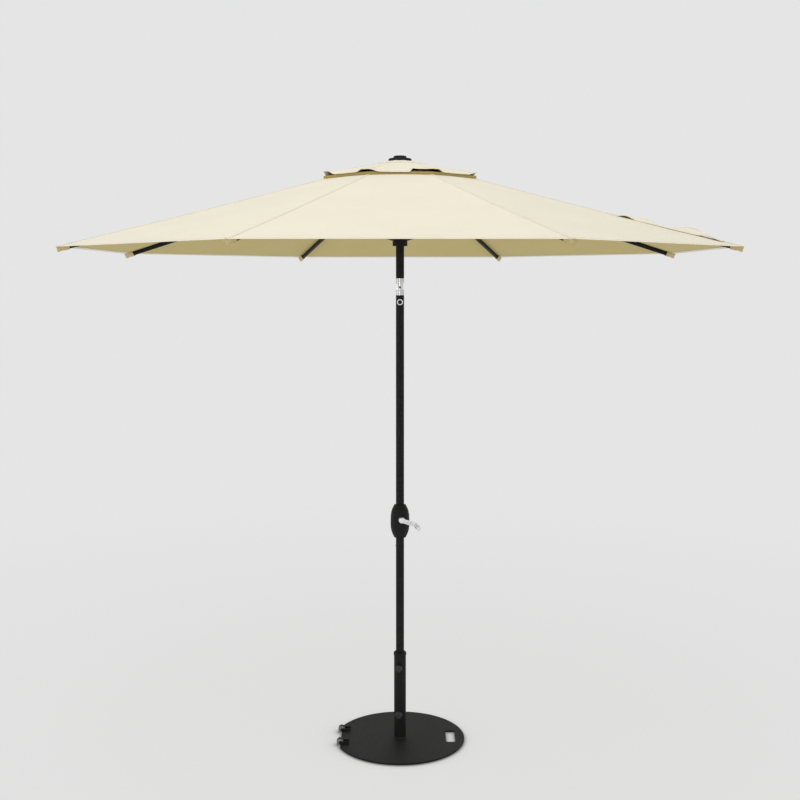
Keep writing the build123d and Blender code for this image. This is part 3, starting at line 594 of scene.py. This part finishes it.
def seam_tape(rib):
    """Felled seam over the rib: a doubled strip with a stitch row near each edge."""
    def at(u, v):
        radius = OPENING + (RADIUS - OPENING) * v
        offset = (2 * u - 1) * CANOPY_SEAM / 2
        gore, across = beside_rib(rib, offset / half_width(radius))
        rise = CLOTH / 2 + 0.0009 - 0.0005 * abs(2 * u - 1) ** 3
        return lift_off(canopy_point, gore, across, v, rise)

    points, faces, shares = grid(6, 96, at)
    uvs = [(u * CANOPY_SEAM, v * GORE_LENGTH) for u, v in shares]
    tape = add_mesh(f"canopy_seam_{rib + 1}", points, faces, ["top_cloth"], f"arm_{rib + 1}",
                    uvs)
    face_up(tape)
    thicken(tape, 0.0006)
    gather(tape)

    def row(side):
        return lambda t: at(0.5 + 0.33 * side, t) + Vector((0, 0, 0.0003))

    sewn = stitches(f"canopy_seam_thread_{rib + 1}", [(row(side), GORE_LENGTH) for side in (-1, 1)],
                    f"arm_{rib + 1}")
    gather(sewn)
    return [tape, sewn]


def hem_profile(width):
    """The folded edge in section: distance out from the cloth's edge, and height over its middle."""
    under, over = -0.0011, 0.0006
    return [(-width, under), (-width * 0.6, under - 0.0003), (-0.003, under - 0.0002),
            (0.0004, under + 0.0005), (0.0011, -0.0001),
            (0.0006, over), (-0.0012, over + 0.0004), (-0.0032, over)]


def hem(name, rib, surface, length, width, body, columns=48):
    """A hem turned under along the edge of a surface, with its row of stitches on top."""
    profile = hem_profile(width)

    def at(u, v):
        gore, across = beside_rib(rib, 2 * u - 1)
        out, height = profile[round(v * (len(profile) - 1))]
        edge = surface(gore, across, 1)
        inward = (surface(gore, across, 1 - width / length) - edge) / width
        inside = lift_off(surface, gore, across, 1 + min(out, 0) / length, height)
        return inside - inward * max(out, 0)

    points, faces, shares = grid(columns, len(profile) - 1, at)
    span = 2 * half_width(RADIUS)
    uvs = [(u * span, v * width * 2) for u, v in shares]
    band = add_mesh(name, points, faces, ["top_cloth"], body, uvs)

    def row(t):
        gore, across = beside_rib(rib, 2 * t - 1)
        return lift_off(surface, gore, across, 1 - width * 0.85 / length, CLOTH / 2 + 0.0002)

    return band, row


def canopy_hem(rib):
    band, row = hem(f"canopy_hem_{rib + 1}", rib, canopy_point, GORE_LENGTH, CANOPY_HEM,
                    f"arm_{rib + 1}")
    gather(band)
    sewn = stitches(f"canopy_hem_thread_{rib + 1}", [(row, 2 * half_width(RADIUS))], f"arm_{rib + 1}")
    gather(sewn)
    return [band, sewn]


def opening_binding(rib):
    """Rolled binding round the hole under the vent cap."""
    around = 8

    def at(u, v):
        gore, across = beside_rib(rib, 2 * u - 1)
        angle = 2 * pi * v
        edge = lift_off(canopy_point, gore, across, 0.004, 0.0016 * sin(angle))
        inward = (canopy_point(gore, across, 0) - canopy_point(gore, across, 0.05)).normalized()
        return edge + inward * 0.005 * cos(angle)

    points, faces, shares = grid(24, around, at)
    uvs = [(u * 2 * half_width(OPENING), v * BINDING) for u, v in shares]
    binding = add_mesh(f"opening_binding_{rib + 1}", points, faces, ["top_cloth"], f"arm_{rib + 1}",
                       uvs)
    gather(binding)
    return binding


def along_rib(rib, distance, lateral, rise):
    """A point at a distance down a rib from its crown pivot, beside it and above its pivot line."""
    pivot = Vector(joints[fold_joint(rib)]["pos_m"])
    azimuth = rib_azimuth(rib)
    out = Vector((cos(azimuth), sin(azimuth), 0))
    side = Vector((-sin(azimuth), cos(azimuth), 0))
    up = Vector((0, 0, 1))
    down_rib = out * cos(SLOPE) - up * sin(SLOPE)
    off_rib = out * sin(SLOPE) + up * cos(SLOPE)
    return pivot + down_rib * distance + side * lateral + off_rib * rise


def tip_pocket(rib):
    """Sleeve sewn under the canopy's corner, closed at its outer end, which the rib's end sits in."""
    start, end = RIB_END - POCKET_LENGTH, RIB_END + POCKET_PAST
    segments, rows = 20, 14

    def at(u, v):
        angle = pi * u
        side = 1 if cos(angle) > 0 else -1
        slack = 1 + 0.04 * sin(7 * v) * sin(angle) + 0.05 * v ** 4
        lateral = side * POCKET_HALF * abs(cos(angle)) ** 0.35 * slack
        margin = side * 0.006 * (1 - sin(angle)) ** 6
        ridge = RIDGE_FALL * abs(lateral + margin) * (1 - sin(angle))
        drop = POCKET_DEPTH * sin(angle) ** 0.35 * slack + ridge
        return along_rib(rib, start + (end - start) * v, lateral + margin, RIB_TOP + 0.0006 - drop)

    points, faces, shares = grid(segments, rows, at)
    last = rows * (segments + 1)
    centre = len(points)
    points.append(along_rib(rib, end + 0.0008, 0, RIB_TOP - POCKET_DEPTH / 2))
    for column in range(segments):
        faces.append((last + column, last + column + 1, centre))
    faces.append((last + segments, last, centre))
    uvs = [(u * POCKET_CUT, v * (end - start)) for u, v in shares] + [(POCKET_CUT / 2, end - start)]
    # the pocket's colour is painted shade
    pocket = add_mesh(f"tip_pocket_{rib + 1}", points, faces, ["pocket_cloth_painted_shade"], f"arm_{rib + 1}",
                      uvs)
    thicken(pocket, 0.0010)
    sides = [(lambda t, share=share: at(share, t), end - start) for share in (0.10, 0.90)]
    sewn = stitches(f"tip_pocket_thread_{rib + 1}", sides, f"arm_{rib + 1}")
    return [pocket, sewn]


# ---- closing strap ----
def hump(place_at, start, end, height):
    if not start < place_at < end:
        return 0.0
    return height * sin(pi * (place_at - start) / (end - start)) ** 2


def strap_point(across, along):
    """A limp ribbon sewn down at its upper end: it slides off the ridge in waves, far edge up."""
    distance = STRAP_START + (STRAP_END - STRAP_START) * along
    near_rise = sum(hump(distance, *wave) for wave in STRAP_NEAR_WAVES)
    far_rise = sum(hump(distance, *wave) for wave in STRAP_FAR_WAVES)
    slide = 0.011 * ease((distance - 0.90) / 0.30) + 0.002 * sin(distance * 30)
    near = -STRAP_WIDTH / 2 - slide
    stand = far_rise - near_rise
    far = near + sqrt(max(STRAP_WIDTH ** 2 - stand ** 2, 0.0001))
    near_height = near_rise - RIDGE_FALL * abs(near)
    far_height = far_rise - RIDGE_FALL * abs(far)
    lateral = near + (far - near) * across
    height = near_height + (far_height - near_height) * across
    belly = 0.0035 * sin(pi * across) * (1 if stand > 0.002 else 0.6)
    curl = max(across - 0.84, 0) / 0.16 * min(far_rise / 0.02, 1)
    lateral -= 0.0060 * sin(1.9 * curl) * (curl > 0)
    height -= 0.0050 * curl ** 2
    return along_rib(STRAP_RIB, distance, lateral, STRAP_REST + height + belly)


def closing_strap():
    points, faces, shares = grid(25, 120, strap_point)
    length = 0.475
    uvs = [(u * STRAP_WIDTH, v * length) for u, v in shares]
    strap = add_mesh("closing_strap", points, faces, ["top_cloth", "under_cloth_painted_shade"],
                     f"arm_{STRAP_RIB + 1}", uvs)
    face_up(strap)
    thicken(strap, 0.0014, under=1)
    rows = []
    for share in (0.08, 0.92):
        rows.append((lambda t, share=share: strap_point(share, t) + Vector((0, 0, 0.0009)), length))
    sewn = stitches("closing_strap_thread", rows, f"arm_{STRAP_RIB + 1}")
    return strap


# ---- vent cap ----
def ease(value):
    value = min(max(value, 0.0), 1.0)
    return value * value * (3 - 2 * value)


def lifted(share, reach):
    """How far a corner's flare has risen; a long flare ends in a crisp fold, a short one fades out."""
    fold = 0.12 if reach > 0.6 else 0.30
    return ease((reach - share) / fold) * (0.55 + 0.45 * min(share / reach, 1) ** 2)


def vent_hem_height(gore, across):
    """The cap's edge hangs low and slack, and flares up beside its corners."""
    first, second = gore % RIBS, (gore + 1) % RIBS
    low = VENT_TOP - VENT_DROP
    from_middle = abs(2 * across - 1)
    rise_first = CORNER_LIFT[first] * lifted(2 * across, LIFT_REACH[first][0])
    rise_second = CORNER_LIFT[second] * lifted(2 * (1 - across), LIFT_REACH[second][1])
    beside = EDGE_RISE[(gore - 1) % RIBS] if across < 0.5 else EDGE_RISE[second]
    slack = EDGE_RISE[first] + (beside - EDGE_RISE[first]) / 2 * from_middle ** 3
    return low + 0.0010 * from_middle ** 2 + slack + rise_first + rise_second


def vent_point(gore, across, down):
    """A point of the vent cap: share across a gore, share down from the centre to the edge."""
    radius = VENT_CENTRE + (VENT_RADIUS - VENT_CENTRE) * down
    edge = vent_hem_height(gore, across)
    mean_edge = VENT_TOP - VENT_MEAN_DROP
    straight = VENT_TOP + (mean_edge - VENT_TOP) * ease_in(down)
    point = corner(gore, radius, 0).lerp(corner(gore + 1, radius, 0), across)
    point.z = straight + (edge - mean_edge) * down ** 4
    point.z -= 0.004 * 4 * across * (1 - across) * down * (1 - down) * 2
    point.z += 0.0008 * noise.noise(Vector((point.x * 14, point.y * 14, 2.0))) * down
    drawn_in = VENT_SCALLOP * 4 * across * (1 - across) * down ** 3
    return point - Vector((point.x, point.y, 0)).normalized() * drawn_in


def ease_in(down):
    """A little flatter under the finial, then straight to the edge."""
    return down - 0.10 * exp(-down * 9) * down


def vent_length():
    return hypot(VENT_RADIUS - VENT_CENTRE, VENT_FALL)


def vent_gore(rib):
    """The cap's cloth over one rib, below its doubled centre."""
    def at(u, v):
        gore, across = beside_rib(rib, 2 * u - 1)
        down = VENT_UNDERLAP + (1 - VENT_UNDERLAP) * v
        return vent_point(gore, across, down)

    points, faces, shares = grid(60, 36, at)
    uvs = []
    for u, v in shares:
        down = VENT_UNDERLAP + (1 - VENT_UNDERLAP) * v
        radius = VENT_CENTRE + (VENT_RADIUS - VENT_CENTRE) * down
        uvs.append(((2 * u - 1) * half_width(radius), down * vent_length()))
    piece = add_mesh(f"vent_cloth_{rib + 1}", points, faces, ["top_cloth", "under_cloth_painted_shade"],
                     f"arm_{rib + 1}", uvs)
    face_up(piece)
    thicken(piece, CLOTH, under=1, rim=False)
    gather(piece)
    if rib == 0:
        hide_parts("vent_canopy")
    return piece


def vent_centre(rib):
    """The doubled centre of the cap: it stays under the finial and bends down to the rib."""
    split = (VENT_SPLIT - VENT_CENTRE) / (VENT_RADIUS - VENT_CENTRE)

    def at(u, v):
        gore, across = beside_rib(rib, 2 * u - 1)
        return vent_point(gore, across, split * v) + Vector((0, 0, 0.0011))

    points, faces, shares = grid(16, 16, at)
    uvs = [((2 * u - 1) * half_width(VENT_CENTRE + (VENT_SPLIT - VENT_CENTRE) * v), v * VENT_CENTRE_CUT)
           for u, v in shares]
    piece = add_mesh(f"vent_centre_{rib + 1}", points, faces, ["top_cloth"], f"arm_{rib + 1}",
                     uvs)
    face_up(piece)
    thicken(piece, 0.0008)
    piece.parent = None
    del piece["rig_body"]
    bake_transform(piece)
    return piece


def vent_hem(rib):
    band, row = hem(f"vent_hem_{rib + 1}", rib, vent_point, vent_length(), VENT_HEM, f"arm_{rib + 1}", 60)
    gather(band)
    sewn = stitches(f"vent_hem_thread_{rib + 1}", [(row, 2 * half_width(VENT_RADIUS))], f"arm_{rib + 1}")
    gather(sewn)
    return [band, sewn]


def vent_painted_shadow_band(rib):
    """A soft dark band that stands between the canopy and the cap's slack edge: painted shadow under the
    cap's edge.
    """
    around = 10

    def at(u, v):
        gore, across = beside_rib(rib, 2 * u - 1)
        edge = vent_point(gore, across, 1)
        inward = -Vector((edge.x, edge.y, 0)).normalized()
        straight = hypot(1 - across + across * cos(2 * HALF_GORE), across * sin(2 * HALF_GORE))
        down = (hypot(edge.x, edge.y) / straight - OPENING) / (RADIUS - OPENING)
        foot = canopy_point(gore, across, down).z + 0.0012
        top = min(edge.z - 0.0012, foot + SKIRT_HEIGHT)
        angle = 2 * pi * v
        middle = Vector((edge.x, edge.y, (foot + top) / 2)) + inward * 0.0035
        return middle + inward * 0.0016 * cos(angle) + Vector((0, 0, (top - foot) / 2 * sin(angle)))

    points, faces, shares = grid(60, around, at)
    uvs = [(u * 2 * half_width(VENT_RADIUS), v * SKIRT_CUT) for u, v in shares]
    skirt = add_mesh(f"vent_painted_shadow_band_{rib + 1}", points, faces, ["skirt_painted_shadow"], f"arm_{rib + 1}",
                     uvs)
    gather(skirt)
    return skirt


def vent_seam(rib):
    """Felled seam of the vent cap over a rib."""
    def at(u, v):
        down = VENT_SEAM_START + (1 - VENT_SEAM_START) * v
        radius = VENT_CENTRE + (VENT_RADIUS - VENT_CENTRE) * down
        gore, across = beside_rib(rib, (2 * u - 1) * VENT_SEAM / 2 / half_width(radius))
        rise = CLOTH / 2 + 0.0007 - 0.0004 * abs(2 * u - 1) ** 3
        return lift_off(vent_point, gore, across, down, rise)

    points, faces, shares = grid(6, 40, at)
    uvs = [(u * VENT_SEAM, v * vent_length()) for u, v in shares]
    tape = add_mesh(f"vent_seam_{rib + 1}", points, faces, ["top_cloth"], f"arm_{rib + 1}",
                    uvs)
    face_up(tape)
    thicken(tape, 0.0005)
    gather(tape)
    return tape


def vent_net(rib):
    """Mesh band between the canopy's opening and the cap."""
    def at(u, v):
        gore, across = beside_rib(rib, 2 * u - 1)
        low = canopy_point(gore, across, 0.006)
        high_down = (NET_TOP_RADIUS - VENT_CENTRE) / (VENT_RADIUS - VENT_CENTRE)
        high = vent_point(gore, across, high_down) - Vector((0, 0, 0.0010))
        point = low.lerp(high, v)
        bow = Vector((point.x, point.y, 0)).normalized() * 0.006 * sin(pi * v)
        return point + bow

    points, faces, shares = grid(40, 10, at)
    uvs = [(u * 2 * half_width(OPENING), v * NET_HEIGHT) for u, v in shares]
    net = add_mesh(f"vent_net_{rib + 1}", points, faces, ["netting"], f"arm_{rib + 1}", uvs)
    thicken(net, 0.0004)
    gather(net)
    return net


# ---- floor, light and camera ----
def studio_floor():
    """A wide pale disc that melts into the background, so no horizon shows; near the stand its glow is
    dimmed as a painted contact shadow.
    """
    size, segments = 40.0, 96
    mesh = bpy.data.meshes.new("studio_floor")
    rim = [(size * cos(2 * pi * index / segments), size * sin(2 * pi * index / segments), 0)
           for index in range(segments)]
    wedges = [(0, index + 1, (index + 1) % segments + 1) for index in range(segments)]
    mesh.from_pydata([(0, 0, 0)] + rim, [], wedges)
    floor = bpy.data.objects.new("studio_floor", mesh)
    bpy.context.scene.collection.objects.link(floor)
    material = bpy.data.materials.new("studio_floor")
    material.use_nodes = True
    tree = material.node_tree
    tree.nodes.remove(tree.nodes["Principled BSDF"])
    at = node(material, "ShaderNodeNewGeometry").outputs["Position"]
    away = node(material, "ShaderNodeVectorMath", {"operation": "LENGTH"})
    tree.links.new(at, away.inputs[0])
    far = spread(material, away.outputs["Value"], 1.2, 5.0)
    # painted contact shadow: ambient occlusion dims the floor's glow near the stand
    near_by = node(material, "ShaderNodeAmbientOcclusion", {"samples": 8}, Distance=0.22).outputs["AO"]
    painted_contact_shadow = spread(material, near_by, 0.62, 1.0, 0.30, 1.0)
    lit = node(material, "ShaderNodeBsdfDiffuse", Color=(0.62, 0.62, 0.62, 1)).outputs[0]
    glow = node(material, "ShaderNodeEmission", Color=(*BACKGROUND, 1), Strength=painted_contact_shadow).outputs[0]
    plain = node(material, "ShaderNodeEmission", Color=(*BACKGROUND, 1), Strength=1.0).outputs[0]
    soft = node(material, "ShaderNodeMixShader", Fac=0.87)
    tree.links.new(lit, soft.inputs[1])
    tree.links.new(glow, soft.inputs[2])
    blend = node(material, "ShaderNodeMixShader", Fac=far)
    tree.links.new(soft.outputs[0], blend.inputs[1])
    tree.links.new(plain, blend.inputs[2])
    tree.links.new(blend.outputs[0], tree.nodes["Material Output"].inputs["Surface"])
    mesh.materials.append(material)
    return floor


def studio_sky():
    """Even pale surroundings."""
    world = bpy.data.worlds.new("studio")
    bpy.context.scene.world = world
    world.use_nodes = True
    sky = world.node_tree.nodes["Background"]
    sky.inputs["Color"].default_value = (*BACKGROUND, 1)
    sky.inputs["Strength"].default_value = 1.0


def soft_box(name, at, towards, width, height, watts):
    data = bpy.data.lights.new(name, "AREA")
    data.shape = "RECTANGLE"
    data.size = width
    data.size_y = height
    data.energy = watts
    lamp = bpy.data.objects.new(name, data)
    lamp.location = at
    lamp.rotation_euler = (Vector(towards) - Vector(at)).to_track_quat("-Z", "Y").to_euler()
    bpy.context.scene.collection.objects.link(lamp)
    return lamp


def studio_lights():
    soft_box("key_light", (-0.5, -2.4, 6.2), (0, 0, 1.8), 3.2, 3.2, 82)
    soft_box("front_light", (-1.3, -5.2, 1.5), (0, 0, 1.1), 0.5, 2.6, 17)
    soft_box("side_light", (-4.0, -0.6, 1.6), (0, 0, 0.3), 1.0, 1.6, 8)


def studio_camera():
    """At the photographed angle: nearly level, a little below the canopy."""
    data = bpy.data.cameras.new("camera")
    data.lens = 50.27
    data.sensor_width = 36
    data.shift_y = -0.0792
    camera = bpy.data.objects.new("camera", data)
    camera.location = (0, -4.623, 1.9215)
    camera.rotation_euler = (radians(90 - 2.794), 0, 0)
    bpy.context.scene.collection.objects.link(camera)
    bpy.context.scene.camera = camera


def build_canopy():
    for rib in range(RIBS):
        sheet = canopy_gores(rib)
        extras = seam_tape(rib) + canopy_hem(rib)
        opening_binding(rib)
        tip_pocket(rib)


def build_vent():
    for rib in range(RIBS):
        gore = vent_gore(rib)
        centre = vent_centre(rib)
        extras = vent_hem(rib) + [vent_seam(rib), vent_painted_shadow_band(rib)]
        net = vent_net(rib)


def main():
    bpy.context.scene.view_settings.view_transform = "Standard"
    studio_camera()
    studio_sky()
    studio_floor()
    studio_lights()
    finish_cad_nodes()
    build_canopy()
    closing_strap()
    build_vent()


main()
